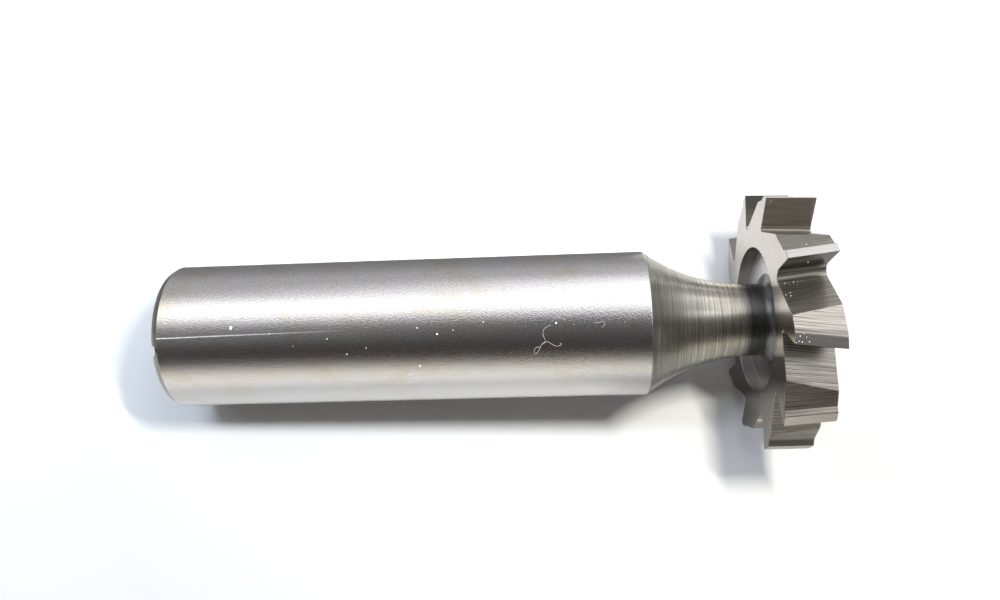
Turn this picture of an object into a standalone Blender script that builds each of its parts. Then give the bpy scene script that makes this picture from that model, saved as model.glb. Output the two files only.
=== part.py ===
"""Woodruff keyseat cutter, 7/8 in by 5/32 in, with staggered teeth, lying at rest on a flat surface.

It is one ground piece of high-speed steel: a turned blank with milled gullets and relieved tooth backs.
The tool's own axis is local Z, from the tail of the shank to the front of the head. An empty lays it
down: it rests on the rim of the tail and on the two lowest teeth, so the axis tilts up to the head.
"""

import math

import bmesh
import bpy
from mathutils import Matrix, Vector

MM = 0.001

# Shank and neck
SHANK_DIAMETER = 12.7 * MM
TAIL_CHAMFER = 0.35 * MM
NECK_DIAMETER = 6.3 * MM
NECK_LENGTH = 9.75 * MM
NECK_STRAIGHT_LENGTH = 0.2 * MM
NECK_ROOT_RADIUS = 0.9 * MM

# Head
OVERALL_LENGTH = 55.6 * MM
CUTTER_DIAMETER = 22.6 * MM
CUTTER_WIDTH = 3.97 * MM
BACK_RECESS_DIAMETER = 12.8 * MM
BACK_RECESS_DEPTH = 1.1 * MM
FRONT_RECESS_DIAMETER = 11.0 * MM
FRONT_RECESS_DEPTH = 0.4 * MM

# Centre holes, one in each end
CENTRE_HOLE_DIAMETER = 2.6 * MM
CENTRE_HOLE_ANGLE = math.radians(60)
CENTRE_PILOT_DIAMETER = 1.0 * MM
CENTRE_PILOT_DEPTH = 1.2 * MM

# Teeth: every second one leans the other way
TEETH = 10
STAGGER_ANGLE = math.radians(7)
RAKE_ANGLE = math.radians(10)
GULLET_ANGLE = math.radians(60)
GULLET_ROOT_RADIUS = 0.8 * MM
GULLET_FLOOR_DIAMETER = 16.9 * MM
LAND_WIDTH = 0.85 * MM
LAND_ANGLE = math.radians(12)
STEP_WIDTH = 0.5 * MM
STEP_ANGLE = math.radians(58)
HEEL_ANGLE = math.radians(28)

# Fineness, and what the milling cutters run past the finished shape
TURNED_STEPS = 72
SWEEP_STEPS = 12
ROOT_STEPS = 5
GRINDING_STOCK = 0.3 * MM
CUTTER_OVERRUN = 1.5 * MM
HEEL_REACH = 0.6  # how far back a heel cut runs, as a share of the pitch

SHANK_RADIUS = SHANK_DIAMETER / 2
NECK_RADIUS = NECK_DIAMETER / 2
CUTTER_RADIUS = CUTTER_DIAMETER / 2
HEAD_BACK = OVERALL_LENGTH - CUTTER_WIDTH
PITCH = math.tau / TEETH


def clear_scene():
    for obj in list(bpy.data.objects):
        bpy.data.objects.remove(obj)


def arc(centre, radius, start, end, steps):
    """Points on an arc in a plane, from one angle to the other, both ends included."""
    angles = [start + (end - start) * i / steps for i in range(steps + 1)]
    return [centre + radius * Vector((math.cos(a), math.sin(a))) for a in angles]


def centre_hole():
    """(radius, depth) points of a drilled centre, from the hole's rim to its bottom on the axis."""
    rim, pilot = CENTRE_HOLE_DIAMETER / 2, CENTRE_PILOT_DIAMETER / 2
    cone_depth = (rim - pilot) / math.tan(CENTRE_HOLE_ANGLE / 2)
    bottom = cone_depth + CENTRE_PILOT_DEPTH
    return [(rim, 0), (pilot, cone_depth), (pilot, bottom), (0, bottom)]


def neck_sweep():
    """The concave sweep from the neck down to the shoulder, tangent to the neck."""
    rise = SHANK_RADIUS - NECK_RADIUS
    run = NECK_LENGTH - NECK_STRAIGHT_LENGTH
    radius = (run**2 + rise**2) / (2 * rise)
    centre = Vector((NECK_RADIUS + radius, HEAD_BACK - NECK_STRAIGHT_LENGTH))
    return arc(centre, radius, math.pi, math.pi + math.asin(run / radius), SWEEP_STEPS)


def blank_profile():
    """(radius, height) points of the turned blank, from the front of the head down to the tail."""
    front_floor = OVERALL_LENGTH - FRONT_RECESS_DEPTH
    back_floor = HEAD_BACK + BACK_RECESS_DEPTH
    stock_radius = CUTTER_RADIUS + GRINDING_STOCK
    root_centre = Vector((NECK_RADIUS + NECK_ROOT_RADIUS, back_floor - NECK_ROOT_RADIUS))
    points = [(r, front_floor - depth) for r, depth in reversed(centre_hole())]
    points += [
        (FRONT_RECESS_DIAMETER / 2, front_floor),
        (FRONT_RECESS_DIAMETER / 2, OVERALL_LENGTH),
        (stock_radius, OVERALL_LENGTH),
        (stock_radius, HEAD_BACK),
        (BACK_RECESS_DIAMETER / 2, HEAD_BACK),
        (BACK_RECESS_DIAMETER / 2, back_floor),
    ]
    points += arc(root_centre, NECK_ROOT_RADIUS, math.pi / 2, math.pi, ROOT_STEPS)
    points += neck_sweep()
    points += [(SHANK_RADIUS, TAIL_CHAMFER), (SHANK_RADIUS - TAIL_CHAMFER, 0)]
    points += centre_hole()
    return points


def turned_blank(name):
    """The blank as a lathe leaves it: the profile turned about local Z by a Screw modifier."""
    mesh = bpy.data.meshes.new(name)
    points = [(r, 0, z) for r, z in blank_profile()]
    edges = [(i, i + 1) for i in range(len(points) - 1)]
    mesh.from_pydata(points, edges, [])
    obj = bpy.data.objects.new(name, mesh)
    bpy.context.scene.collection.objects.link(obj)
    screw = obj.modifiers.new("turning", "SCREW")
    screw.steps = screw.render_steps = TURNED_STEPS
    screw.use_merge_vertices = True
    screw.merge_threshold = 0.001 * MM
    screw.use_smooth_shade = False
    return obj


def along_to_radius(point, direction, radius, far):
    """How far a point travels along a direction to this distance from the axis, the near or far time."""
    half = point.dot(direction)
    root = math.sqrt(half**2 - point.length_squared + radius**2)
    return root - half if far else -root - half


def slope(angle):
    """A unit (radial, forward) direction that leans forward by this angle from straight out."""
    return Vector((math.cos(angle), math.sin(angle)))


def gullet_outline():
    """(radial, forward) outline of the V-shaped cut in front of a tooth, whose edge is at forward 0."""
    edge = Vector((CUTTER_RADIUS, 0))
    rake_face = slope(RAKE_ANGLE)
    flank_angle = RAKE_ANGLE + GULLET_ANGLE
    flank = slope(flank_angle)

    above_root = edge + GULLET_ROOT_RADIUS * slope(RAKE_ANGLE + math.pi / 2)
    floor = GULLET_FLOOR_DIAMETER / 2 + GULLET_ROOT_RADIUS
    centre = above_root - rake_face * along_to_radius(above_root, -rake_face, floor, far=False)
    rake_side, flank_side = RAKE_ANGLE + math.pi * 3 / 2, flank_angle + math.pi / 2
    root = arc(centre, GULLET_ROOT_RADIUS, rake_side, flank_side, ROOT_STEPS)

    clear = CUTTER_RADIUS + CUTTER_OVERRUN
    flank_end = root[-1] + flank * along_to_radius(root[-1], flank, clear, far=True)
    return [edge + CUTTER_OVERRUN * rake_face] + root + [flank_end]


def back_outline():
    """(radial, forward) outline of what comes off a tooth's back: land, step down and heel."""
    edge = Vector((CUTTER_RADIUS, 0))
    land_end = edge - LAND_WIDTH * slope(math.pi / 2 - LAND_ANGLE)
    step_end = land_end - STEP_WIDTH * slope(math.pi / 2 - STEP_ANGLE)
    heel = -slope(math.pi / 2 - HEEL_ANGLE)
    last_ray = slope(-HEEL_REACH * PITCH)
    heel_end = step_end - heel * (step_end.cross(last_ray) / heel.cross(last_ray))
    ahead = edge + CUTTER_OVERRUN * slope(math.pi / 2 - LAND_ANGLE)
    clear = CUTTER_RADIUS + CUTTER_OVERRUN
    return [ahead, land_end, step_end, heel_end, clear * last_ray, clear * ahead.normalized()]


def milling_cut(name, outline, tooth, collection):
    """A prism with this outline across the head at one tooth, leaning the way that the tooth leans."""
    reach = CUTTER_WIDTH / 2 + CUTTER_OVERRUN
    shape = bmesh.new()
    face = shape.faces.new([shape.verts.new((*point, -reach)) for point in outline])
    sweep = bmesh.ops.extrude_face_region(shape, geom=[face])
    moved = [item for item in sweep["geom"] if isinstance(item, bmesh.types.BMVert)]
    bmesh.ops.translate(shape, verts=moved, vec=(0, 0, 2 * reach))
    bmesh.ops.recalc_face_normals(shape, faces=shape.faces)
    mesh = bpy.data.meshes.new(name)
    shape.to_mesh(mesh)
    shape.free()

    obj = bpy.data.objects.new(name, mesh)
    collection.objects.link(obj)
    lean = STAGGER_ANGLE if tooth % 2 == 0 else -STAGGER_ANGLE
    turn = math.pi + (tooth + 0.5) * PITCH
    middle = Vector((0, 0, HEAD_BACK + CUTTER_WIDTH / 2))
    obj.matrix_world = (
        Matrix.Rotation(turn, 4, "Z") @ Matrix.Translation(middle) @ Matrix.Rotation(lean, 4, "X")
    )
    obj.display_type = "WIRE"
    obj.hide_render = True
    return obj


def mill_teeth(body):
    """Cuts every gullet, then every tooth back, as staggered teeth are milled one by one."""
    collection = bpy.data.collections.new("milling_cuts")
    bpy.context.scene.collection.children.link(collection)
    collection.hide_render = True
    cuts = []
    for kind, outline in (("gullet", gullet_outline()), ("back", back_outline())):
        for tooth in range(TEETH):
            cut = milling_cut(f"{kind}_cut_{tooth + 1}", outline, tooth, collection)
            milling = body.modifiers.new(cut.name, "BOOLEAN")
            milling.object = cut
            milling.operation = "DIFFERENCE"
            milling.solver = "EXACT"
            cuts.append(cut)
    return cuts


def lowest_corner(forward_lean):
    """How far below the axis a corner of the two lowest teeth reaches, for its offset round the head."""
    return CUTTER_RADIUS * math.cos(PITCH / 2) - forward_lean * math.sin(PITCH / 2)


def lay_down(objects):
    """Parents the tool to an empty that lays it on its tail rim and its two lowest teeth, centred."""
    corner_offset = CUTTER_WIDTH / 2 * math.tan(STAGGER_ANGLE)
    back, front = lowest_corner(corner_offset), lowest_corner(-corner_offset)
    tilt = max(
        math.atan((back - SHANK_RADIUS) / (HEAD_BACK - TAIL_CHAMFER)),
        math.atan((front - SHANK_RADIUS) / (OVERALL_LENGTH - TAIL_CHAMFER)),
    )
    tail_end = -(SHANK_RADIUS - TAIL_CHAMFER) * math.sin(tilt)
    head_end = OVERALL_LENGTH * math.cos(tilt) + front * math.sin(tilt)
    height = SHANK_RADIUS * math.cos(tilt) - TAIL_CHAMFER * math.sin(tilt)

    rest = bpy.data.objects.new("rest_pose", None)
    bpy.context.scene.collection.objects.link(rest)
    up = Vector((-math.sin(tilt), 0, math.cos(tilt)))
    along = Vector((math.cos(tilt), 0, math.sin(tilt)))
    turned = Matrix((up, along.cross(up), along)).transposed()
    place = Vector((-(tail_end + head_end) / 2, 0, height))
    rest.matrix_world = Matrix.Translation(place) @ turned.to_4x4()
    for obj in objects:
        obj.parent = rest


def high_speed_steel():
    """Ground high-speed steel: bright, slightly warm, with a fine satin finish."""
    material = bpy.data.materials.new("high_speed_steel")
    material.use_nodes = True
    shader = material.node_tree.nodes["Principled BSDF"]
    shader.inputs["Base Color"].default_value = (0.55, 0.53, 0.50, 1)
    shader.inputs["Metallic"].default_value = 1
    shader.inputs["Roughness"].default_value = 0.32
    return material


def main():
    clear_scene()
    cutter = turned_blank("keyseat_cutter")
    cutter.data.materials.append(high_speed_steel())
    cuts = mill_teeth(cutter)
    lay_down([cutter, *cuts])


main()
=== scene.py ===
# %% [markdown]
# # A Woodruff keyseat cutter, lying on a white table
# A keyseat cutter mills the half-round pocket for a Woodruff key in a shaft. This one is a single bar of
# high-speed steel: a ground shank, a neck that sweeps in, and a thin disc with ten staggered teeth.
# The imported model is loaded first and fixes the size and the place. The piece made here stands in that
# same place, and adds what a render can show: broken edges, tool marks, stains and dust.

import math
import random

import bmesh
import bpy
from mathutils import Matrix, Vector, noise


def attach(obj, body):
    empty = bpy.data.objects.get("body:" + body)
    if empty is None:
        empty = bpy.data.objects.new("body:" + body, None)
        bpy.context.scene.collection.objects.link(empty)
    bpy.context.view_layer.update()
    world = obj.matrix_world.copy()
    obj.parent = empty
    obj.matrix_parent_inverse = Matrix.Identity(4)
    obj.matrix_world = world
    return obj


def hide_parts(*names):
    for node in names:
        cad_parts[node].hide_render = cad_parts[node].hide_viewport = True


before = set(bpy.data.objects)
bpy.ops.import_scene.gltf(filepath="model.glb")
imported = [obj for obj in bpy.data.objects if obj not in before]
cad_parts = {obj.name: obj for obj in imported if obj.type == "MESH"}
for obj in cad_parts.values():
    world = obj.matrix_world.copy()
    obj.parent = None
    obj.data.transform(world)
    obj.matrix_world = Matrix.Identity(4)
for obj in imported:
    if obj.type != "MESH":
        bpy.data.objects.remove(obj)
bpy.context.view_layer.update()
MM = 0.001

# %% [markdown]
# ## The camera
# The photograph was taken close up, from almost straight above, so the perspective is strong: the near teeth
# look bigger than the far ones. The camera's place and angles were solved from outlines in the photograph.
# It could be turned by hand until it looks right, but three angles written as numbers can be checked: how
# far the view looks down, how far it pans to the side, and a small roll.

# %% Place the camera
CAMERA_PLACE = Vector((-0.952, -8.532, 78.723)) * MM
LOOK_DOWN, PAN, ROLL = math.radians(81.065), math.radians(1.732), math.radians(-1.044)
FOCAL_IN_IMAGE_WIDTHS = 0.783

forward = Vector((math.sin(PAN), math.cos(LOOK_DOWN), -math.sin(LOOK_DOWN))).normalized()
level_right = (Vector((1, 0, 0)) - forward * forward.x).normalized()
level_up = level_right.cross(forward)
right = math.cos(ROLL) * level_right + math.sin(ROLL) * level_up
up = -math.sin(ROLL) * level_right + math.cos(ROLL) * level_up

lens = bpy.data.cameras.new("photo_camera")
lens.sensor_width = 36
lens.lens = 36 * FOCAL_IN_IMAGE_WIDTHS
lens.clip_start = 0.001
camera = bpy.data.objects.new("photo_camera", lens)
bpy.context.scene.collection.objects.link(camera)
turned = Matrix((right, up, -forward)).transposed().to_4x4()
camera.matrix_world = Matrix.Translation(CAMERA_PLACE) @ turned
bpy.context.scene.camera = camera
print("focal length, mm:", round(lens.lens, 2))

# %% [markdown]
# ## From the tool's own axes to the table
# A lathe and a grinder know only the tool's own axis. So the whole piece is modelled upright in millimetres,
# with its tail at the origin and its axis along Z, and laid down at the end by one matrix. It rests on the
# rim of its tail and on its two lowest teeth, so its axis rises a little towards the head.

# %% The matrix that lays the tool down
TILT = math.radians(4.8172)
TAIL_CENTRE = Vector((-27.9043, 0, 6.2982)) * MM
out_up = Vector((-math.sin(TILT), 0, math.cos(TILT)))
along = Vector((math.cos(TILT), 0, math.sin(TILT)))
tool_axes = Matrix((out_up, along.cross(out_up), along)).transposed()
lay_down = Matrix.Translation(TAIL_CENTRE) @ tool_axes.to_4x4() @ Matrix.Scale(MM, 4)
print("the axis rises", round(math.degrees(TILT), 2), "degrees towards the head")

# %% [markdown]
# ## The profile of the blank
# On the real tool a lathe turns the blank, and a grinder brings the shank and the faces to size. Both leave
# a shape that is round about one axis, so half of its outline says everything. The outline is a wire of a
# few vertices, and its sharp corners get a vertex bevel, because no real corner is perfectly sharp: the thin
# rounding is what catches the light.

# %% Sizes, in millimetres
SHANK_RADIUS, NECK_RADIUS, CUTTER_RADIUS = 6.35, 3.15, 11.3
LENGTH, WIDTH = 55.6, 3.97
HEAD_BACK = LENGTH - WIDTH
NECK_LENGTH, NECK_STRAIGHT, NECK_ROOT = 9.75, 0.2, 0.9
BACK_RECESS_RADIUS, BACK_RECESS_DEPTH = 6.4, 1.1
FRONT_RECESS_RADIUS, FRONT_RECESS_DEPTH = 5.5, 0.4
TAIL_CHAMFER, CHAMFER_LENGTH = 0.3, 0.55
CENTRE_HOLE = [(1.3, 0), (0.5, 1.386), (0.5, 2.586), (0, 2.586)]  # (radius, depth) of a drilled centre


def arc(centre, radius, start, end, steps):
    """Points on an arc, both ends included."""
    angles = [start + (end - start) * i / steps for i in range(steps + 1)]
    return [(centre[0] + radius * math.cos(a), centre[1] + radius * math.sin(a)) for a in angles]


rise, run = SHANK_RADIUS - NECK_RADIUS, NECK_LENGTH - NECK_STRAIGHT
sweep = (run**2 + rise**2) / (2 * rise)
print("the neck sweeps on a radius of", round(sweep, 2), "mm")

# %% Draw half of the outline as a wire, and round its corners
back_floor, front_floor = HEAD_BACK + BACK_RECESS_DEPTH, LENGTH - FRONT_RECESS_DEPTH
soft = 0.05  # rounding of an edge that was broken with a stone
outline = [(r, depth, 0.03) for r, depth in reversed(CENTRE_HOLE)]
outline += [(SHANK_RADIUS - TAIL_CHAMFER, 0, soft), (SHANK_RADIUS, CHAMFER_LENGTH, 0.06)]
outline += [(SHANK_RADIUS, s, 0) for s in (8, 16, 24, 32)]
neck = arc((NECK_RADIUS + sweep, HEAD_BACK - NECK_STRAIGHT), sweep, math.pi + math.asin(run / sweep), math.pi, 28)
outline += [(*neck[0], 0.07)] + [(*point, 0) for point in neck[1:]]
outline += [(*p, 0) for p in arc((NECK_RADIUS + NECK_ROOT, back_floor - NECK_ROOT), NECK_ROOT, math.pi, math.pi / 2, 10)]
outline += [(BACK_RECESS_RADIUS, back_floor, 0.06), (BACK_RECESS_RADIUS, HEAD_BACK, 0.02)]
outline += [(CUTTER_RADIUS + 0.3, HEAD_BACK, 0), (CUTTER_RADIUS + 0.3, LENGTH, 0)]
outline += [(FRONT_RECESS_RADIUS, LENGTH, soft), (FRONT_RECESS_RADIUS, front_floor, 0.1)]
outline += [(r, front_floor - depth, 0.03) for r, depth in CENTRE_HOLE]

blank = bmesh.new()
wire = [blank.verts.new((r, 0, s)) for r, s, _ in outline]
for start, end in zip(wire, wire[1:]):
    blank.edges.new((start, end))
for size in sorted({soft for _, _, soft in outline} - {0}):
    corners = [v for v, (r, _, soft) in zip(wire, outline) if soft == size and r > 0 and v.is_valid]
    bmesh.ops.bevel(
        blank, geom=corners, offset=size, segments=3, profile=0.5, affect="VERTICES", material=-1
    )
print(len(outline), "corners drawn,", len(blank.verts), "points after the rounding")

# %% [markdown]
# ## Turning the blank
# The wire is spun once about the axis, as the lathe does it. A Screw modifier or a lathe of rings would give
# the same surface; the spin operator is the shortest, and `use_merge` closes the last step onto the first.
# The faces are then sorted by place into the finishes that the real tool has.

# %% Spin the wire into the blank
bmesh.ops.spin(
    blank, geom=blank.verts[:] + blank.edges[:], cent=(0, 0, 0), axis=(0, 0, 1),
    angle=math.tau, steps=160, use_merge=True,
)
bmesh.ops.remove_doubles(blank, verts=blank.verts, dist=0.0005)
bmesh.ops.recalc_face_normals(blank, faces=blank.faces)

FINISHES = ["ground_shank", "turned_neck", "ground_face", "milled_tooth", "ground_land", "ground_rake"]
SHANK, NECK, FACE, MILLED, LAND, RAKE_FACE = range(6)
for face in blank.faces:
    middle = face.calc_center_median()
    radius = middle.xy.length
    if middle.z < 0.02 or (radius > 6.2 and CHAMFER_LENGTH - 0.03 < middle.z < HEAD_BACK - NECK_LENGTH + 0.02):
        face.material_index = SHANK
    elif middle.z > HEAD_BACK - 0.001 and radius > NECK_RADIUS + NECK_ROOT:
        face.material_index = FACE
    else:
        face.material_index = NECK if middle.z < LENGTH - FRONT_RECESS_DEPTH - 0.01 else FACE
marks = blank.loops.layers.uv.new("mill_marks")
print("blank:", len(blank.faces), "faces")

# %% [markdown]
# ## The ten staggered teeth
# This is the part that takes the most skill, on the machine and here. Each gap is milled with a V-shaped
# cutter that stands at 7 degrees to the tool's axis, and every second gap leans the other way, so that the
# teeth shear from alternate sides. Then the back of each tooth is relieved in three facets: a ground land
# behind the edge, a step, and a milled heel. The cuts could be worked out as vertices; taking them out with
# Boolean modifiers keeps each one a simple prism, just as the mill takes them. A prism carries a UV map in
# millimetres, and the Boolean hands it on to the cut face: later the tool marks run along it.

# %% What each tooth's cuts are
TEETH, PITCH, LEAN = 10, math.tau / 10, math.radians(7)
RAKE = math.radians(10)
# Root radius, floor radius and opening in degrees of the gap in front of a tooth. One gap is wider than the rest.
GAP, WIDER_GAPS = (0.32, 8.2, 60), {4: (0.62, 7.95, 53)}
REACH = WIDTH / 2 + 1.5  # how far a cut runs past the middle of the head on each side
# For each tooth: land angle, land width, step angle, step width, heel angle, and how far the heel is skewed
BACKS = [
    (12, 0.85, 58, 0.50, 28, 1), (12, 0.85, 55, 0.50, 29, 0), (13, 0.88, 60, 0.48, 28, -1),
    (12, 0.82, 58, 0.50, 28, 0), (12, 0.85, 60, 0.52, 28, 0), (9, 0.85, 20, 0.45, 33, 0),
    (16, 0.87, 60, 0.50, 28, -1), (12, 1.3, 63, 0.62, 30, 0), (12, 0.86, 58, 0.50, 28, 1),
    (11, 0.84, 56, 0.50, 29, 0),
]


def slope(angle):
    """A unit (outward, forward) direction that leans forward by this angle from straight out."""
    return Vector((math.cos(angle), math.sin(angle)))


def meet(point, direction, other, heading):
    """Where two lines in a plane cross."""
    return point + direction * ((other - point).cross(heading) / direction.cross(heading))


def gullet_section(tooth, w):
    """The V-shaped gap in front of a tooth, whose edge is at forward 0. It is the same at every w."""
    root_radius, floor_radius, opening = WIDER_GAPS.get(tooth, GAP)
    far_side = RAKE + math.radians(opening)
    edge, face, flank = Vector((CUTTER_RADIUS, 0)), slope(RAKE), slope(far_side)
    above = edge + root_radius * slope(RAKE + math.pi / 2)
    half = above.dot(-face)
    down = -half - math.sqrt(half**2 - above.length_squared + (floor_radius + root_radius) ** 2)
    centre = above - face * down
    root = arc(centre, root_radius, RAKE + math.pi * 1.5, far_side + math.pi / 2, 14)
    far = Vector(root[-1]) + flank * 10.5
    return [edge + 1.5 * face] + [Vector(point) for point in root] + [far]


def land_section(tooth, w):
    """What lies above the land, from just ahead of the edge to well behind it."""
    edge, land = Vector((CUTTER_RADIUS, 0)), slope(math.pi / 2 - math.radians(BACKS[tooth][0]))
    last = slope(-0.6 * PITCH)
    ahead = edge + 1.5 * land
    return [ahead, meet(edge, land, last, last), 13 * last, 13 * ahead.normalized()]


def heel_section(tooth, w):
    """What lies behind the step and above the heel. The heel is a plane with a skew of its own."""
    land_angle, land_width, step_angle, step_width, heel_angle, skew = BACKS[tooth]
    skew = math.radians(skew if tooth % 2 == 0 else -skew)
    land, step, heel = (slope(math.pi / 2 - math.radians(a)) for a in (land_angle, step_angle, heel_angle))
    land_end = Vector((CUTTER_RADIUS, 0)) - land_width * land
    on_heel = land_end - step_width * step + Vector((0, w * math.tan(skew)))
    last = slope(-0.6 * PITCH)
    step_end = meet(land_end, step, on_heel, heel)
    return [land_end + 2.2 * step, step_end, meet(on_heel, heel, last, last), 13 * last]


# %% Build a prism between a section at each side of the head
def milling_cut(shape, section, tooth, finish):
    """Adds one prism to a bmesh: two end faces, bridged, with the mill's direction along U."""
    uv = shape.loops.layers.uv["mill_marks"]
    ends = []
    for w in (-REACH, REACH):
        ring = [shape.verts.new((*point, w)) for point in section(tooth, w)]
        ends.append(shape.faces.new(ring))
    edges = [edge for end in ends for edge in end.edges]
    sides = bmesh.ops.bridge_loops(shape, edges=edges)["faces"]
    index = {v: i for end in ends for i, v in enumerate(end.verts)}
    for face in ends + sides:
        is_rake = section is gullet_section and {index[v] for v in face.verts} == {0, 1}
        face.material_index = RAKE_FACE if is_rake else finish
    flat = [point for point in section(tooth, 0)]
    lengths = [0.0]
    for a, b in zip(flat, flat[1:]):
        lengths.append(lengths[-1] + (b - a).length)
    place = {v: (v.co.z, lengths[i] + 17.3 * tooth) for v, i in index.items()}
    for face in ends + sides:
        for loop in face.loops:
            loop[uv].uv = place[loop.vert]
    lean = LEAN if tooth % 2 == 0 else -LEAN
    turn = math.pi + (tooth + 0.5) * PITCH
    middle = Vector((0, 0, HEAD_BACK + WIDTH / 2))
    bmesh.ops.transform(
        shape, verts=[v for end in ends for v in end.verts],
        matrix=Matrix.Rotation(turn, 4, "Z") @ Matrix.Translation(middle) @ Matrix.Rotation(lean, 4, "X"),
    )


def to_object(name, shape):
    """A finished bmesh as an object in the scene."""
    mesh = bpy.data.meshes.new(name)
    shape.to_mesh(mesh)
    shape.free()
    for finish in FINISHES:
        mesh.materials.append(bpy.data.materials.get(finish) or bpy.data.materials.new(finish))
    made = bpy.data.objects.new(name, mesh)
    bpy.context.scene.collection.objects.link(made)
    return made


# %% [markdown]
# ## A nick in the rim of the tail
# The rim has been knocked once, which left a small nick, steep on one side. A cube that stands on its edge, set
# into the rim, cuts it out together with the teeth.

# %% The block that cuts the nick
nick = bmesh.new()
nick.loops.layers.uv.new("mill_marks")
bmesh.ops.create_cube(nick, size=1.0)
for face in nick.faces:
    face.material_index = NECK
set_in = Matrix.Rotation(math.radians(18.5), 4, "Z") @ Matrix.Translation((SHANK_RADIUS, 0, 0))
stood = Matrix.Diagonal((1.6, 1, 1.5, 1)) @ Matrix.Rotation(math.radians(57), 4, "X") @ Matrix.Diagonal((1, 0.6, 0.9, 1))
bmesh.ops.transform(nick, verts=nick.verts, matrix=set_in @ stood)
print("nick cutter:", len(nick.faces), "faces")

# %% Mill the teeth: gaps, lands, heels, every second tooth at a time so that no two prisms touch
cutter = to_object("cutter", blank)
cuts = [to_object("nick", nick)]
for kind, section, finish in (("gullets", gullet_section, MILLED), ("lands", land_section, LAND), ("heels", heel_section, MILLED)):
    for first in (0, 1):
        shape = bmesh.new()
        shape.loops.layers.uv.new("mill_marks")
        for tooth in range(first, TEETH, 2):
            milling_cut(shape, section, tooth, finish)
        bmesh.ops.recalc_face_normals(shape, faces=shape.faces)
        cuts.append(to_object(f"{kind}_{first}", shape))
for cut in cuts:
    milling = cutter.modifiers.new(cut.name, "BOOLEAN")
    milling.object, milling.operation, milling.solver = cut, "DIFFERENCE", "EXACT"
milled = bpy.data.meshes.new_from_object(cutter.evaluated_get(bpy.context.evaluated_depsgraph_get()))
cutter.modifiers.clear()
cutter.data = milled
for cut in cuts:
    bpy.data.objects.remove(cut)
print("milled:", len(milled.polygons), "faces")

# %% [markdown]
# ## Breaking the edges
# A ground edge is sharp to the finger but not to a lens: each corner of a tooth shows as a hair of light.
# So every sharp convex edge of the head gets a bevel of three hundredths of a millimetre. The Booleans leave
# flat faces in many pieces, and those are dissolved first, because a bevel follows whole edges best.

# %% Clean the flats and bevel the sharp edges
EDGE_BREAK = 0.03
shape = bmesh.new()
shape.from_mesh(cutter.data)
bmesh.ops.remove_doubles(shape, verts=shape.verts, dist=0.0008)
head_edges = [e for e in shape.edges if min(v.co.z for v in e.verts) > HEAD_BACK - 0.001 and max(v.co.xy.length for v in e.verts) > 6.6]
of_head = {v for e in head_edges for v in e.verts}
head_verts = [v for v in shape.verts if v in of_head]  # in the mesh's own order, and not the set's
bmesh.ops.dissolve_limit(shape, angle_limit=math.radians(0.3), verts=head_verts, edges=head_edges, delimit={"MATERIAL"})
sharp = [
    e for e in shape.edges
    if len(e.link_faces) == 2 and e.is_convex and e.calc_face_angle() > math.radians(20)
    and any(f.material_index in (MILLED, LAND, RAKE_FACE) for f in e.link_faces)
]
bmesh.ops.bevel(
    shape, geom=sharp, offset=EDGE_BREAK, segments=1, profile=0.5, affect="EDGES", material=-1,
    clamp_overlap=False, loop_slide=True,
)
for face in shape.faces:
    face.smooth = True
for edge in shape.edges:
    if len(edge.link_faces) == 2:
        on_tooth = any(face.material_index in (MILLED, LAND, RAKE_FACE) for face in edge.link_faces)
        edge.smooth = edge.calc_face_angle() < math.radians(9.5 if on_tooth else 32)
print(len(sharp), "edges broken, open edges:", sum(not e.is_manifold for e in shape.edges))
shape.to_mesh(cutter.data)
shape.free()

# %% Lay the tool down and let the big flats decide the shading
cutter.data.transform(lay_down)
even = cutter.modifiers.new("even_shading", "WEIGHTED_NORMAL")
even.keep_sharp = True
even.weight = 80
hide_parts("keyseat_cutter")
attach(cutter, "root")
print("cutter laid down:", [round(x / MM, 2) for x in cutter.dimensions])

# %% [markdown]
# ## Dust, burrs and a thread of lint
# The photograph shows a few specks of dust and one curled thread on the shank, and sparkling crumbs of metal on
# some edges. Each speck is a small lump from an icosphere, pressed flat against what carries it. The thread is
# a curve with a round section, which is the shortest way to a bent hair. All of them sit where they are seen.

# %% Specks of dust and crumbs of metal
chance = random.Random(4)
noise.seed_set(4)  # unseeded, the noise would give each run its own lumps
ON_SHANK = [  # mm from the tail, degrees round from the top towards the viewer, size in mm
    (7.0, 1.7, 0.19), (15.1, 12, 0.07), (18.32, 19.7, 0.06), (16.68, 24, 0.06), (22.64, 5.8, 0.06), (24.28, 10.7, 0.1),
    (25.61, 8.1, 0.06), (28.1, 2.8, 0.06), (22.68, 35.5, 0.1), (34.07, 5.1, 0.09), (13.2, -4, 0.05), (38.6, -30, 0.05),
]
ON_HEAD = [  # place and outward direction as (up, towards the viewer, along the tool), and size, in mm
    ((-1.1, 8.75, 51.85), (0.7, 0.6, -0.4), 0.3), ((8.96, -3.25, 53.71), (0.14, 0.98, 0.12), 0.1),
    ((9.06, -0.65, 52.17), (0.71, -0.7, -0.06), 0.05), ((8.92, -0.76, 51.84), (0.71, -0.7, -0.06), 0.04),
]
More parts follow.
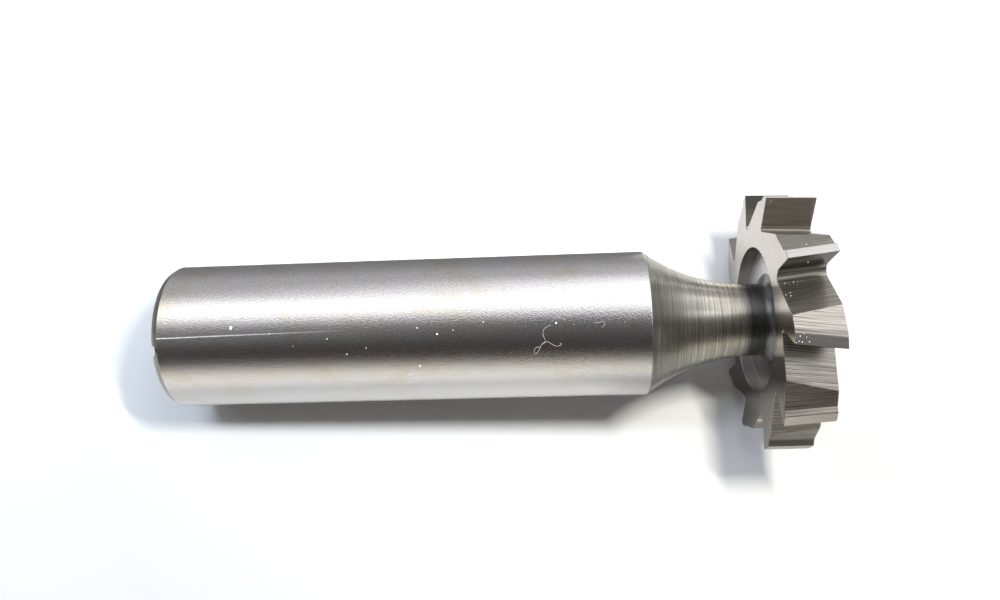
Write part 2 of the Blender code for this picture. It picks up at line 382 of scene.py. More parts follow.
CRUMBS = [  # up, towards the viewer and along the tool, in mm
    (10.84, 2.46, 51.68), (10.95, 2.39, 51.85), (10.91, 2.66, 52.02), (10.9, 2.76, 51.68), (10.85, 3.03, 51.93),
    (10.93, 2.51, 52.31), (10.89, 2.73, 52.49), (10.84, 3.1, 52.16), (10.83, 3.1, 52.68), (10.84, 3.12, 51.72),
    (7.89, -1.82, 52.15), (7.88, -1.85, 52.48), (7.85, -1.92, 52.83), (7.84, -1.95, 53.17), (7.83, -1.99, 53.51),
    (6.3, -9.1, 51.89), (6.28, -9.05, 52.09), (6.16, -8.94, 52.03), (6.35, -9.1, 52.22), (6.36, -9.28, 53.06),
    (6.29, -9.29, 54.13), (9.56, -4.54, 53.03), (9.44, -4.67, 53.27), (9.57, -4.57, 53.49), (8.77, -0.94, 52.23),
]


def speck(shape, place, out, size):
    """A lump pressed flat along out, the direction away from the surface."""
    flat = out.to_track_quat("Z", "Y").to_matrix().to_4x4() @ Matrix.Diagonal((1, chance.uniform(0.6, 1), 0.45, 1))
    turned = flat @ Matrix.Rotation(chance.uniform(0, math.tau), 4, "Z")
    made = bmesh.ops.create_icosphere(shape, subdivisions=1, radius=size, matrix=Matrix.Translation(place) @ turned)
    for v in made["verts"]:
        v.co += size * 0.35 * noise.noise_vector(v.co * 7)


def small_piece(name, shape, finish):
    mesh = bpy.data.meshes.new(name)
    shape.to_mesh(mesh)
    shape.free()
    mesh.transform(lay_down)
    mesh.materials.append(bpy.data.materials.get(finish) or bpy.data.materials.new(finish))
    piece = bpy.data.objects.new(name, mesh)
    bpy.context.scene.collection.objects.link(piece)
    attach(piece, "root")
    return piece


dust, crumbs = bmesh.new(), bmesh.new()
for along_mm, degrees, size in ON_SHANK:
    out = Vector((math.cos(math.radians(degrees)), math.sin(math.radians(degrees)), 0))
    speck(dust, out * SHANK_RADIUS + Vector((0, 0, along_mm)), out, size)
for place, out, size in ON_HEAD:
    speck(dust, Vector(place), Vector(out), size)
for _ in range(26):  # finer dust, which lies anywhere
    turn = math.radians(chance.uniform(-45, 45))
    out = Vector((math.cos(turn), math.sin(turn), 0))
    speck(dust, out * SHANK_RADIUS + Vector((0, 0, chance.uniform(2, 40))), out, chance.uniform(0.022, 0.038))
for x, y, z in CRUMBS:
    out = Vector((x, y, 0)).normalized()
    speck(crumbs, Vector((x, y, z)), out, chance.uniform(0.025, 0.055))
small_piece("dust_specks", dust, "pale_dust")
small_piece("metal_crumbs", crumbs, "torn_metal")
print(len(ON_SHANK) + len(ON_HEAD) + 26, "specks,", len(CRUMBS), "crumbs")

# %% The thread of lint
THREADS = [  # points along each thread: mm from the tail, degrees round from the top
    [(33.65, 6.7), (33.28, 7.5), (33.01, 10), (32.96, 13), (33.05, 15.6), (33.21, 18.2), (32.83, 20.8), (32.7, 23.4),
     (32.52, 26.9), (32.31, 28.5), (32.18, 26.4), (32.26, 23.6), (32.51, 22.3), (32.78, 23)],
    [(32.83, 21), (33.21, 18.4), (33.49, 19.5), (33.77, 21.3), (34.09, 22.6), (34.38, 22), (34.49, 20.5), (34.31, 20.2)],
    [(34.04, 0.4), (34.49, 1.2), (34.89, 3.5)],
    [(37.15, 5.8), (37.72, 5.6), (37.96, 4.7), (38.12, 7.3), (37.78, 9.4)],
]
hair = bpy.data.curves.new("lint_thread", "CURVE")
hair.dimensions, hair.bevel_depth, hair.bevel_resolution, hair.resolution_u = "3D", 0.012 * MM, 1, 6
for points in THREADS:
    strand = hair.splines.new("NURBS")
    strand.points.add(len(points) - 1)
    strand.use_endpoint_u, strand.order_u = True, 3
    for knot, (along_mm, degrees) in zip(strand.points, points):
        radius = SHANK_RADIUS + 0.02
        place = Vector((radius * math.cos(math.radians(degrees)), radius * math.sin(math.radians(degrees)), along_mm))
        knot.co = (*(lay_down @ place), 1)
hair.materials.append(bpy.data.materials.new("lint"))
thread = bpy.data.objects.new("lint_thread", hair)
bpy.context.scene.collection.objects.link(thread)
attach(thread, "root")
print(len(THREADS), "strands of lint")

# %% [markdown]
# ## Finishes: colours and a helper
# Colours are written as the sRGB hex values that one reads off a picture, and one function turns them into
# the linear values that the renderer works with. One more small function adds a node with its settings.


# %% Colour and node helpers
def colour(hex_code):
    """An sRGB hex colour as linear red, green, blue and alpha."""
    values = [int(hex_code[i : i + 2], 16) / 255 for i in (1, 3, 5)]
    return (*[v / 12.92 if v <= 0.04045 else ((v + 0.055) / 1.055) ** 2.4 for v in values], 1)


def add(tree, kind, inputs=(), **settings):
    """Adds a node with its settings; inputs are (socket, value) pairs, where a value may be a socket."""
    made = tree.nodes.new(kind)
    for name, value in settings.items():
        setattr(made, name, value)
    for key, value in dict(inputs).items():
        if isinstance(value, bpy.types.NodeSocket):
            tree.links.new(value, made.inputs[key])
        else:
            made.inputs[key].default_value = value
    return made


def start(name):
    """Clears a material's nodes and gives it a Principled shader. Returns the tree and the shader."""
    material = bpy.data.materials.get(name) or bpy.data.materials.new(name)
    material.use_nodes = True
    tree = material.node_tree
    tree.nodes.clear()
    shader = add(tree, "ShaderNodeBsdfPrincipled")
    add(tree, "ShaderNodeOutputMaterial", {"Surface": shader.outputs["BSDF"]})
    return tree, shader


def tool_place(tree):
    """The surface point in the tool's own axes and in millimetres: (point, radius, height) sockets."""
    spot = add(tree, "ShaderNodeTexCoord")
    own = add(
        tree, "ShaderNodeMapping",
        {"Vector": spot.outputs["Object"], "Location": TAIL_CENTRE, "Rotation": tool_axes.to_euler(), "Scale": (MM, MM, MM)},
        vector_type="TEXTURE",
    )
    split = add(tree, "ShaderNodeSeparateXYZ", {0: own.outputs[0]})
    flat = add(tree, "ShaderNodeCombineXYZ", {0: split.outputs[0], 1: split.outputs[1]})
    radius = add(tree, "ShaderNodeVectorMath", {0: flat.outputs[0]}, operation="LENGTH")
    return own.outputs[0], radius.outputs["Value"], split.outputs[2]


print("white is", colour("#FFFFFF"))

# %% [markdown]
# ## The ground shank
# High-speed steel, cylindrically ground: the wheel leaves marks round the bar that are a few hundredths of a
# millimetre wide. They are too fine to see one by one, so they are drawn a few times coarser and very
# shallow. Between them the steel is bright and slightly warm. A thin film of old oil tints it tan in places.

# %% Ground shank
tree, shader = start("ground_shank")
point, radius, height = tool_place(tree)
MARK = 0.12  # mm between grinding marks as drawn; the real ones are about 0.03
rings = add(tree, "ShaderNodeVectorMath", {0: point, 1: (0.15, 0.15, 1 / MARK)}, operation="MULTIPLY")
fine = add(tree, "ShaderNodeTexNoise", {"Vector": rings.outputs[0], "Scale": 1.0, "Detail": 3.0, "Roughness": 0.7})
film = add(tree, "ShaderNodeTexNoise", {"Vector": point, "Scale": 0.22, "Detail": 5.0, "Roughness": 0.65})
film_shape = add(tree, "ShaderNodeMapRange", {"Value": film.outputs[0], "From Min": 0.5, "From Max": 0.72, "To Max": 0.6})
steel = add(
    tree, "ShaderNodeMix", {0: film_shape.outputs[0], 6: colour("#EBE9E6"), 7: colour("#E2D6BA")}, data_type="RGBA",
)
GRAIN = 0.1  # mm across the grains that glitter where the light ends
grain = add(tree, "ShaderNodeTexNoise", {"Vector": point, "Scale": 1 / GRAIN, "Detail": 2.0, "Roughness": 0.6})
speckle = add(tree, "ShaderNodeMapRange", {"Value": grain.outputs[0], "From Min": 0.3, "From Max": 0.7, "To Min": 0.8, "To Max": 1.08})
grainy = add(tree, "ShaderNodeVectorMath", {0: steel.outputs[2], 3: speckle.outputs[0]}, operation="SCALE")
tree.links.new(grainy.outputs[0], shader.inputs["Base Color"])
rough = add(tree, "ShaderNodeMapRange", {"Value": fine.outputs[0], "To Min": 0.09, "To Max": 0.18})
tree.links.new(rough.outputs[0], shader.inputs["Roughness"])
# One long scratch runs along the bar from its tail. Its torn metal scatters the light, so it is paler.
split = add(tree, "ShaderNodeSeparateXYZ", {0: point})
around = add(tree, "ShaderNodeMath", {0: split.outputs[1], 1: split.outputs[0]}, operation="ARCTAN2")
drift = add(tree, "ShaderNodeMath", {0: height, 1: math.radians(-0.12), 2: math.radians(7.3)}, operation="MULTIPLY_ADD")
wobbly = add(tree, "ShaderNodeMath", {0: grain.outputs[0], 1: 0.03, 2: drift.outputs[0]}, operation="MULTIPLY_ADD")
off_line = add(tree, "ShaderNodeMath", {0: around.outputs[0], 1: wobbly.outputs[0]}, operation="SUBTRACT")
beside = add(tree, "ShaderNodeMath", {0: off_line.outputs[0]}, operation="ABSOLUTE")
core = add(tree, "ShaderNodeMapRange", {"Value": beside.outputs[0], "From Min": 0.002, "From Max": 0.01, "To Min": 1, "To Max": 0})
fading = add(tree, "ShaderNodeMapRange", {"Value": height, "From Min": 3, "From Max": 17, "To Min": 0.55, "To Max": 0})
torn = add(tree, "ShaderNodeMath", {0: core.outputs[0], 1: fading.outputs[0]}, operation="MULTIPLY")
metal = add(tree, "ShaderNodeMath", {0: 1.0, 1: torn.outputs[0]}, operation="SUBTRACT")
tree.links.new(metal.outputs[0], shader.inputs["Metallic"])
marks_bump = add(tree, "ShaderNodeBump", {"Height": fine.outputs[0], "Strength": 0.12, "Distance": 0.004 * MM})
bump = add(
    tree, "ShaderNodeBump",
    {"Height": grain.outputs[0], "Strength": 0.9, "Distance": 0.02 * MM, "Normal": marks_bump.outputs[0]},
)
tree.links.new(bump.outputs[0], shader.inputs["Normal"])
print("ground shank ready")

# %% [markdown]
# ## The turned neck and recess
# The neck is left as the lathe tool cut it: fine rings with a feed of about a tenth of a millimetre, some of
# them deeper, and a duller, darker grey than the ground shank. Its colour is painted lighter towards the head,
# a painted highlight, and dark in the corner at the head, a painted shade where the disc blocks its reflection.

# %% Turned neck
tree, shader = start("turned_neck")
point, radius, height = tool_place(tree)
FEED = 0.16  # mm from one deep ring to the next, as drawn
down_profile = add(tree, "ShaderNodeMath", {0: height, 1: radius}, operation="SUBTRACT")
split = add(tree, "ShaderNodeSeparateXYZ", {0: point})
round_slow = [add(tree, "ShaderNodeMath", {0: split.outputs[i], 1: 0.12}, operation="MULTIPLY") for i in (0, 1)]
feed = add(tree, "ShaderNodeMath", {0: down_profile.outputs[0], 1: 1 / FEED}, operation="MULTIPLY")
rings = add(tree, "ShaderNodeCombineXYZ", {0: round_slow[0].outputs[0], 1: round_slow[1].outputs[0], 2: feed.outputs[0]})
turning = add(tree, "ShaderNodeTexNoise", {"Vector": rings.outputs[0], "Scale": 1.0, "Detail": 4.0, "Roughness": 0.75})
tone = add(tree, "ShaderNodeValToRGB", {0: turning.outputs[0]})
tone.color_ramp.elements[0].position, tone.color_ramp.elements[0].color = 0.36, colour("#A8A59E")
tone.color_ramp.elements[1].position, tone.color_ramp.elements[1].color = 0.62, colour("#E6E3D2")
# Painted shade: the corner at the head is painted a dark blue-grey, where the disc blocks what the neck would reflect.
corner = add(tree, "ShaderNodeMapRange", {"Value": height, "From Min": HEAD_BACK - 1.6, "From Max": HEAD_BACK - 0.9, "To Max": 0.82})
# Painted highlight: the rings are painted darker towards the shank and lighter towards the head, where they reflect the
# bright window.
painted_highlight_ramp = add(tree, "ShaderNodeMapRange", {"Value": height, "From Min": HEAD_BACK - 8, "From Max": HEAD_BACK - 4.3, "To Min": 0.7, "To Max": 1.22})
highlighted_tone = add(tree, "ShaderNodeVectorMath", {0: tone.outputs[0], 3: painted_highlight_ramp.outputs[0]}, operation="SCALE")
painted_corner_shade = add(tree, "ShaderNodeMix", {0: corner.outputs[0], 6: highlighted_tone.outputs[0], 7: colour("#565B62")}, data_type="RGBA")
tree.links.new(painted_corner_shade.outputs[2], shader.inputs["Base Color"])
rough = add(tree, "ShaderNodeMapRange", {"Value": turning.outputs[0], "To Min": 0.34, "To Max": 0.22})
tree.links.new(rough.outputs[0], shader.inputs["Roughness"])
# Rings round the bar spread a highlight along the bar: that is what the anisotropy does.
tangent = add(tree, "ShaderNodeTangent", direction_type="RADIAL", axis="X")
tree.links.new(tangent.outputs[0], shader.inputs["Tangent"])
shader.inputs["Anisotropic"].default_value = 0.8
shader.inputs["Anisotropic Rotation"].default_value = 0.25
bump = add(tree, "ShaderNodeBump", {"Height": turning.outputs[0], "Strength": 0.5, "Distance": 0.012 * MM})
tree.links.new(bump.outputs[0], shader.inputs["Normal"])
shader.inputs["Metallic"].default_value = 1
print("turned neck ready")

# %% [markdown]
# ## The ground faces of the head
# The two faces of the disc are ground on a cup wheel, which leaves long shallow arcs and a soft satin sheen
# with a slightly pink cast. The arcs are drawn about the tool's axis. The recesses are
# duller and a little bluer. The wall of the deep recess and its side towards the viewer are painted darker, as
# painted shade, and so is the side of the face towards the viewer, which reflects the shadowed table.

# %% Ground face
tree, shader = start("ground_face")
point, radius, height = tool_place(tree)
split = add(tree, "ShaderNodeSeparateXYZ", {0: point})
slow = [add(tree, "ShaderNodeMath", {0: split.outputs[i], 1: 0.1}, operation="MULTIPLY") for i in (0, 1)]
across = add(tree, "ShaderNodeMath", {0: radius, 1: 1 / 0.14}, operation="MULTIPLY")
arcs = add(tree, "ShaderNodeCombineXYZ", {0: slow[0].outputs[0], 1: slow[1].outputs[0], 2: across.outputs[0]})
wheel = add(tree, "ShaderNodeTexNoise", {"Vector": arcs.outputs[0], "Scale": 1.0, "Detail": 3.0, "Roughness": 0.6})
tone = add(tree, "ShaderNodeValToRGB", {0: wheel.outputs[0]})
tone.color_ramp.elements[0].position, tone.color_ramp.elements[0].color = 0.3, colour("#C8C1BC")
tone.color_ramp.elements[1].position, tone.color_ramp.elements[1].color = 0.7, colour("#DAD3CE")
off_middle = add(tree, "ShaderNodeMath", {0: height, 1: HEAD_BACK + WIDTH / 2}, operation="SUBTRACT")
from_middle = add(tree, "ShaderNodeMath", {0: off_middle.outputs[0]}, operation="ABSOLUTE")
inside = add(tree, "ShaderNodeMapRange", {"Value": from_middle.outputs[0], "From Min": WIDTH / 2 - 0.04, "From Max": WIDTH / 2 - 0.1})
# Painted shade: the wall of the deep recess and its side towards the viewer are painted darker.
recess_wall_shade = add(tree, "ShaderNodeMapRange", {"Value": radius, "From Min": BACK_RECESS_RADIUS - 0.2, "From Max": BACK_RECESS_RADIUS - 0.07})
recess_near_shade = add(tree, "ShaderNodeMapRange", {"Value": split.outputs[1], "From Min": 1, "From Max": 4})
recess_shade_mask = add(tree, "ShaderNodeMath", {0: recess_wall_shade.outputs[0], 1: recess_near_shade.outputs[0]}, operation="MAXIMUM")
floor = add(tree, "ShaderNodeMix", {0: recess_shade_mask.outputs[0], 6: colour("#DDDDE2"), 7: colour("#A3A19C")}, data_type="RGBA")
# Painted shade: the side of the face towards the viewer is painted darker, as it reflects the shadowed table.
painted_near_shade = add(tree, "ShaderNodeMapRange", {"Value": split.outputs[1], "From Min": 4.5, "From Max": 6.5, "To Min": 1, "To Max": 0.58})
near_shaded_tone = add(tree, "ShaderNodeVectorMath", {0: tone.outputs[0], 3: painted_near_shade.outputs[0]}, operation="SCALE")
cooler = add(tree, "ShaderNodeMix", {0: inside.outputs[0], 6: near_shaded_tone.outputs[0], 7: floor.outputs[2]}, data_type="RGBA")
tree.links.new(cooler.outputs[2], shader.inputs["Base Color"])
rough = add(tree, "ShaderNodeMapRange", {"Value": inside.outputs[0], "To Min": 0.17, "To Max": 0.3})
tree.links.new(rough.outputs[0], shader.inputs["Roughness"])
bump = add(tree, "ShaderNodeBump", {"Height": wheel.outputs[0], "Strength": 0.15, "Distance": 0.006 * MM})
tree.links.new(bump.outputs[0], shader.inputs["Normal"])
shader.inputs["Metallic"].default_value = 1
print("ground face ready")

# %% [markdown]
# ## The milled faces of the teeth
# A mill leaves straight scratches in the direction that it travels, here along each tooth. The UV map that
# came with the cuts has U along that direction and V across it, both in millimetres, so a noise that is
# squeezed along V and stretched along U becomes scratches that turn with each tooth's lean.

# %% Milled tooth
tree, shader = start("milled_tooth")
laid = add(tree, "ShaderNodeUVMap", uv_map="mill_marks")
SCRATCH = 0.11  # mm across a scratch as drawn
stretched = add(tree, "ShaderNodeVectorMath", {0: laid.outputs[0], 1: (0.12, 1 / SCRATCH, 1)}, operation="MULTIPLY")
scratch = add(tree, "ShaderNodeTexNoise", {"Vector": stretched.outputs[0], "Scale": 1.0, "Detail": 4.0, "Roughness": 0.7})
tone = add(tree, "ShaderNodeValToRGB", {0: scratch.outputs[0]})
tone.color_ramp.elements[0].position, tone.color_ramp.elements[0].color = 0.36, colour("#6E6963")
tone.color_ramp.elements[1].position, tone.color_ramp.elements[1].color = 0.6, colour("#C6C0B4")
tree.links.new(tone.outputs[0], shader.inputs["Base Color"])
rough = add(tree, "ShaderNodeMapRange", {"Value": scratch.outputs[0], "To Min": 0.4, "To Max": 0.26})
tree.links.new(rough.outputs[0], shader.inputs["Roughness"])
bump = add(tree, "ShaderNodeBump", {"Height": scratch.outputs[0], "Strength": 0.45, "Distance": 0.02 * MM})
tree.links.new(bump.outputs[0], shader.inputs["Normal"])
shader.inputs["Metallic"].default_value = 0.96  # torn metal scatters a little of the light
print("milled tooth ready")

# %% [markdown]
# ## The ground lands
# The narrow land behind each edge is ground last, with a finer wheel, so it is the smoothest face of all.

# %% Ground land
tree, shader = start("ground_land")
laid = add(tree, "ShaderNodeUVMap", uv_map="mill_marks")
stretched = add(tree, "ShaderNodeVectorMath", {0: laid.outputs[0], 1: (0.2, 14, 1)}, operation="MULTIPLY")
scratch = add(tree, "ShaderNodeTexNoise", {"Vector": stretched.outputs[0], "Scale": 1.0, "Detail": 3.0, "Roughness": 0.6})
tone = add(tree, "ShaderNodeValToRGB", {0: scratch.outputs[0]})
tone.color_ramp.elements[0].position, tone.color_ramp.elements[0].color = 0.3, colour("#CFCAC2")
tone.color_ramp.elements[1].position, tone.color_ramp.elements[1].color = 0.7, colour("#EAE6DE")
tree.links.new(tone.outputs[0], shader.inputs["Base Color"])
shader.inputs["Roughness"].default_value = 0.22
bump = add(tree, "ShaderNodeBump", {"Height": scratch.outputs[0], "Strength": 0.2, "Distance": 0.006 * MM})
tree.links.new(bump.outputs[0], shader.inputs["Normal"])
shader.inputs["Metallic"].default_value = 1
print("ground land ready")

# %% [markdown]
# ## The ground rake faces
# The front of each tooth is ground too, with a dish-shaped wheel that passes down the gap. It is smooth, and
# its colour is painted dark: a painted shade for the next tooth, which it mostly looks into.

# %% Ground rake
tree, shader = start("ground_rake")
laid = add(tree, "ShaderNodeUVMap", uv_map="mill_marks")
stretched = add(tree, "ShaderNodeVectorMath", {0: laid.outputs[0], 1: (0.5, 9, 1)}, operation="MULTIPLY")
scratch = add(tree, "ShaderNodeTexNoise", {"Vector": stretched.outputs[0], "Scale": 1.0, "Detail": 3.0, "Roughness": 0.6})
tone = add(tree, "ShaderNodeValToRGB", {0: scratch.outputs[0]})
# The dark tone is painted shade, for the next tooth that the rake face looks into.
tone.color_ramp.elements[0].position, tone.color_ramp.elements[0].color = 0.3, colour("#716E69")
tone.color_ramp.elements[1].position, tone.color_ramp.elements[1].color = 0.7, colour("#827E77")
tree.links.new(tone.outputs[0], shader.inputs["Base Color"])
shader.inputs["Roughness"].default_value = 0.2
bump = add(tree, "ShaderNodeBump", {"Height": scratch.outputs[0], "Strength": 0.2, "Distance": 0.008 * MM})
tree.links.new(bump.outputs[0], shader.inputs["Normal"])
shader.inputs["Metallic"].default_value = 1
print("ground rake ready")

# %% [markdown]
# ## Dust, lint and crumbs
# Dust and lint are plain pale matt stuff, dust a little yellow and the thread a little pink. A crumb of torn
# metal glitters from many tiny facets, which at this size looks like a half matt, half metallic white.

# %% Dust, lint and crumbs
for name, shade, metallic in (("pale_dust", "#E9E6CF", 0), ("lint", "#C4B5AF", 0), ("torn_metal", "#F6F3EA", 0.4)):
    tree, shader = start(name)
    shader.inputs["Base Color"].default_value = colour(shade)
    shader.inputs["Metallic"].default_value = metallic
    shader.inputs["Roughness"].default_value = 0.8 - metallic
print("dust, lint and crumbs ready")

# %% [markdown]
# ## The table
# The tool lies on white paper. The lamps are small and close, so ordinary paper would turn grey away from
# them, and would throw too much light back into the shadows. So the paper is a plain matt grey for the light
# that it scatters, and for the camera and the reflections it gets lighter with the distance from the tool. It
# stays a surface and not a glow, so it keeps the tool's shadow.

# %% White table
tree, shader = start("white_paper")
path = add(tree, "ShaderNodeLightPath")
spot = add(tree, "ShaderNodeTexCoord")
away = add(tree, "ShaderNodeVectorMath", {0: spot.outputs["Object"]}, operation="LENGTH")
reach = add(tree, "ShaderNodeMapRange", {"Value": away.outputs["Value"], "From Min": 0, "From Max": 250 * MM})
lighter = add(tree, "ShaderNodeValToRGB", {0: reach.outputs[0]})
lighter.color_ramp.elements.new(0.16)
lighter.color_ramp.elements.new(0.32)
for stop, (place, level) in zip(lighter.color_ramp.elements, ((0.16, 0.22), (0.26, 0.27), (0.45, 0.5), (1.0, 1.0))):
    stop.position, stop.color = place, (level, level, level, 1)
# For reflections the paper is a little darker everywhere, and on the near side of the head it is painted darker still:
# a painted shadow of the disc, which the steel reflects.
split = add(tree, "ShaderNodeSeparateXYZ", {0: spot.outputs["Object"]})
near = add(tree, "ShaderNodeMapRange", {"Value": split.outputs[1], "From Min": 6 * MM, "From Max": -3 * MM, "To Max": 0.75})
headward = add(tree, "ShaderNodeMapRange", {"Value": split.outputs[0], "From Min": 11 * MM, "From Max": 18 * MM, "To Max": -1.0})
shaded = add(tree, "ShaderNodeMath", {0: near.outputs[0], 1: headward.outputs[0], 2: -0.72}, operation="MULTIPLY_ADD")
level = add(tree, "ShaderNodeMath", {0: path.outputs["Is Glossy Ray"], 1: shaded.outputs[0], 2: 2.8}, operation="MULTIPLY_ADD")
bright = add(tree, "ShaderNodeVectorMath", {0: lighter.outputs[0], 3: level.outputs[0]}, operation="SCALE")
paper = add(tree, "ShaderNodeMix", {0: path.outputs["Is Diffuse Ray"], 6: bright.outputs[0], 7: colour("#C8C8C8")}, data_type="RGBA")
tree.links.new(paper.outputs[2], shader.inputs["Base Color"])
shader.inputs["Roughness"].default_value = 1
shader.inputs["Specular IOR Level"].default_value = 0
table = bmesh.new()
bmesh.ops.create_grid(table, x_segments=1, y_segments=1, size=1.2)
table_mesh = bpy.data.meshes.new("table")
table.to_mesh(table_mesh)
table.free()
table_mesh.materials.append(bpy.data.materials["white_paper"])
table_top = bpy.data.objects.new("table", table_mesh)
bpy.context.scene.collection.objects.link(table_top)
print("table, m:", list(table_top.dimensions))

# %% [markdown]
# ## The light
# Polished steel shows the room and not itself, so the room is what makes it look right. Over the tool there
# is a broad bright window on the far side, a dark band straight above where the camera and the ceiling are,
# and a warm wall on the near side. A ramp over one angle draws that room in the world: the angle runs from
# the far horizon over the top to the near horizon. The window looks wider from the head, so there are three
# ramps, and the direction to the left or right blends them.

# %% The room, as a ramp from the far horizon over the top to the near one
world = bpy.data.worlds.new("room")
bpy.context.scene.world = world
world.use_nodes = True
tree = world.node_tree
tree.nodes.clear()
sky = add(tree, "ShaderNodeTexCoord")
split = add(tree, "ShaderNodeSeparateXYZ", {0: sky.outputs["Generated"]})
toward_camera = add(tree, "ShaderNodeMath", {0: split.outputs[1], 1: -1.0}, operation="MULTIPLY")
angle = add(tree, "ShaderNodeMath", {0: toward_camera.outputs[0], 1: split.outputs[2]}, operation="ARCTAN2")
share = add(tree, "ShaderNodeMapRange", {"Value": angle.outputs[0], "From Min": -math.pi / 2, "From Max": math.pi / 2})
OVERHEAD = [(26, 0.09), (42, 0.065), (52, 0.1), (61, 0.28), (68, 0.75), (76, 1.12), (90, 1.12)]
# (degrees from straight up, negative on the far side; brightness), to the tool's left and to its right
LEFT = [(-90, 0.55), (-63, 0.62), (-54, 0.85), (-46, 2.15), (-26, 2.15), (-17, 1.3), (-11, 0.58), (-3, 0.33), (10, 0.3), (18, 0.17)]
RIGHT = [(-90, 0.52), (-80, 0.7), (-72, 1.0), (-66, 1.7), (-60, 1.9), (-19, 1.9), (-14, 1.0), (-9, 0.34), (-3, 0.14), (12, 0.11)]
# what the head's right side sees
FAR_RIGHT = [(-90, 0.5), (-80, 0.6), (-73, 1.0), (-66, 1.9), (-60, 2.4), (-19, 2.4), (-11, 1.9), (-5, 1.4), (2, 0.5), (12, 0.24)]
FAR_RIGHT += [(26, 0.09), (42, 0.065), (52, 0.09), (63, 0.14), (70, 0.32), (76, 0.65), (90, 1.0)]
BRIGHTEST = 2.4
ROOM_LEVEL = 0.75


def room_ramp(stops_wanted):
    ramp = add(tree, "ShaderNodeValToRGB", {0: share.outputs[0]})
    stops = ramp.color_ramp.elements
    while len(stops) < len(stops_wanted):
        stops.new(0.5)
    for stop, (degrees, bright) in zip(stops, stops_wanted):
        warm = max(0.0, degrees) / 90
        brown = max(0.0, 1 - abs(degrees - 40) / 25)  # the ceiling above shows a brownish purple
        tint = (1 + 0.03 * warm + 0.1 * brown, 1 - 0.02 * warm - 0.06 * brown, 1.05 - 0.16 * warm - 0.06 * brown)
        stop.position = (degrees + 90) / 180
        stop.color = (*[bright * t / BRIGHTEST for t in tint], 1)
    return ramp.outputs[0]


rightward = add(tree, "ShaderNodeMapRange", {"Value": split.outputs[0], "From Min": -0.45, "From Max": 0.1})
both = add(tree, "ShaderNodeMix", {0: rightward.outputs[0], 6: room_ramp(LEFT + OVERHEAD), 7: room_ramp(RIGHT + OVERHEAD)}, data_type="RGBA")
farther = add(tree, "ShaderNodeMapRange", {"Value": split.outputs[0], "From Min": 0.12, "From Max": 0.28})
three = add(tree, "ShaderNodeMix", {0: farther.outputs[0], 6: both.outputs[2], 7: room_ramp(FAR_RIGHT)}, data_type="RGBA")
size = add(tree, "ShaderNodeMath", {0: split.outputs[0]}, operation="ABSOLUTE")
sideways = add(tree, "ShaderNodeMapRange", {"Value": size.outputs[0], "From Min": 0.62, "From Max": 0.8}, interpolation_type="SMOOTHSTEP")
room = add(tree, "ShaderNodeMix", {0: sideways.outputs[0], 6: three.outputs[2], 7: (0.12, 0.12, 0.125, 1)}, data_type="RGBA")
path = add(tree, "ShaderNodeLightPath")
seen = add(tree, "ShaderNodeMix", {0: path.outputs["Is Camera Ray"], 6: room.outputs[2], 7: (1 / BRIGHTEST / ROOM_LEVEL,) * 3 + (1,)}, data_type="RGBA")
glow = add(tree, "ShaderNodeBackground", {"Color": seen.outputs[2], "Strength": BRIGHTEST * ROOM_LEVEL})
add(tree, "ShaderNodeOutputWorld", {"Surface": glow.outputs[0]})
print(len(LEFT + OVERHEAD), "stops in each of the room's three ramps")

# %% [markdown]
# ## A grey card behind the tool
# Against a white table the far side of a bright bar would vanish. A photographer lays a dark card there, out
# of the picture, so that the metal reflects a darker edge. This card is seen in reflections only: it casts
# no shadow and the camera doesn't see it. It is lighter farther off.

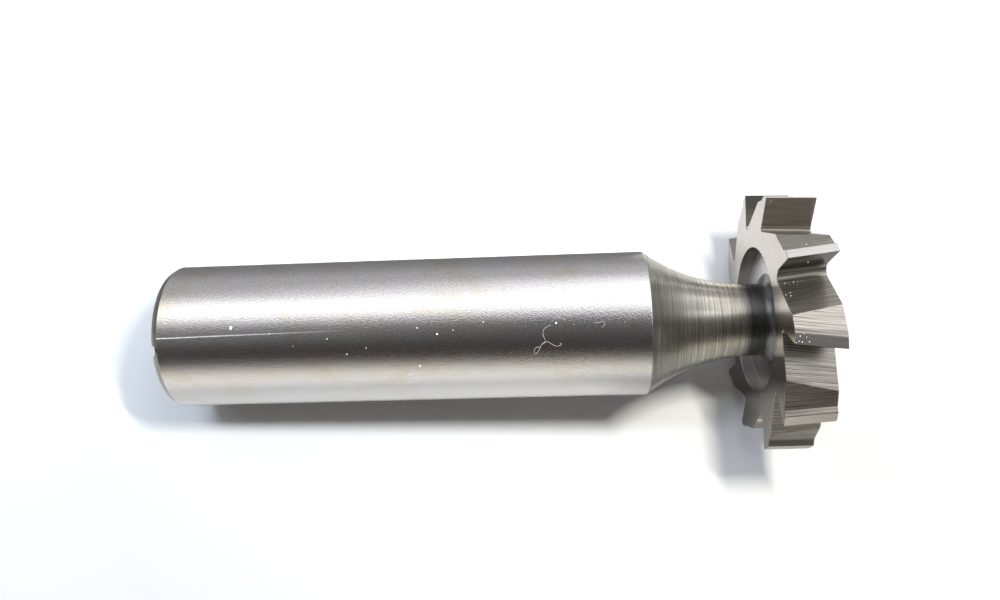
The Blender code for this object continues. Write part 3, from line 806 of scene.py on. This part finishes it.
# %% The grey card
tree, shader = start("grey_card")
spot = add(tree, "ShaderNodeTexCoord")
split = add(tree, "ShaderNodeSeparateXYZ", {0: spot.outputs["Object"]})
away = add(tree, "ShaderNodeMapRange", {"Value": split.outputs[1], "From Min": 10 * MM, "From Max": 130 * MM})
grey = add(tree, "ShaderNodeValToRGB", {0: away.outputs[0]})
for stop, (place, level) in zip((grey.color_ramp.elements.new(0.2), grey.color_ramp.elements[0], grey.color_ramp.elements[-1]), ((0.25, 0.34), (0.0, 0.2), (1.0, 0.5))):
    stop.position, stop.color = place, (level * 0.99, level * 0.99, level * 1.04, 1)
shader.inputs["Base Color"].default_value = (0, 0, 0, 1)
shader.inputs["Specular IOR Level"].default_value = 0
tree.links.new(grey.outputs[0], shader.inputs["Emission Color"])
shader.inputs["Emission Strength"].default_value = 1
card = bmesh.new()
bmesh.ops.create_grid(card, x_segments=1, y_segments=1, size=0.5)
bmesh.ops.translate(card, verts=card.verts, vec=(-0.483, 0.509, 0.4 * MM))
second = bmesh.ops.create_grid(card, x_segments=1, y_segments=1, size=0.5)
bmesh.ops.translate(card, verts=second["verts"], vec=(-0.42, 0.526, 0.6 * MM))
card_mesh = bpy.data.meshes.new("grey_card")
card.to_mesh(card_mesh)
card.free()
card_mesh.materials.append(bpy.data.materials["grey_card"])
card_piece = bpy.data.objects.new("grey_card", card_mesh)
bpy.context.scene.collection.objects.link(card_piece)
for ray in ("camera", "diffuse", "shadow", "transmission", "volume_scatter"):
    setattr(card_piece, f"visible_{ray}", False)
print("card starts", round(min(v.co.y for v in card_mesh.vertices) / MM), "mm behind the axis")

# %% [markdown]
# ## Three small lamps
# The shadow in the photograph says where the lamps were. Under the bar all of them are blocked and the paper
# is a dull brown; beside the disc only the warm one is blocked, so a bluish shadow with a crisp edge is left.
# The places below were found by trying which lamps darken just the paper that is dark in the picture.

# %% The lamps
LAMPS = [  # name, place and size in mm, turn in degrees, watts, colour
    ("warm_lamp", (25.5, 15.5, 92), (2.5, 17), 34, 0.105, (1.0, 0.96, 0.87)),
    ("left_lamp", (-35, 11, 72), (22, 7), 0, 0.038, (0.7, 0.84, 1.0)),
    ("middle_lamp", (8, 19, 88), (28, 9), 0, 0.017, (0.9, 0.95, 1.0)),
]
for name, place, (wide, deep), turn, watts, tint in LAMPS:
    lamp = bpy.data.lights.new(name, "AREA")
    lamp.shape, lamp.size, lamp.size_y = "RECTANGLE", wide * MM, deep * MM
    lamp.energy, lamp.color = watts, tint
    hung = bpy.data.objects.new(name, lamp)
    bpy.context.scene.collection.objects.link(hung)
    hung.location = Vector(place) * MM
    hung.rotation_euler.z = math.radians(turn)
    hung.visible_glossy = False
bpy.context.scene.view_settings.view_transform = "Standard"
print(len(LAMPS), "lamps hung")
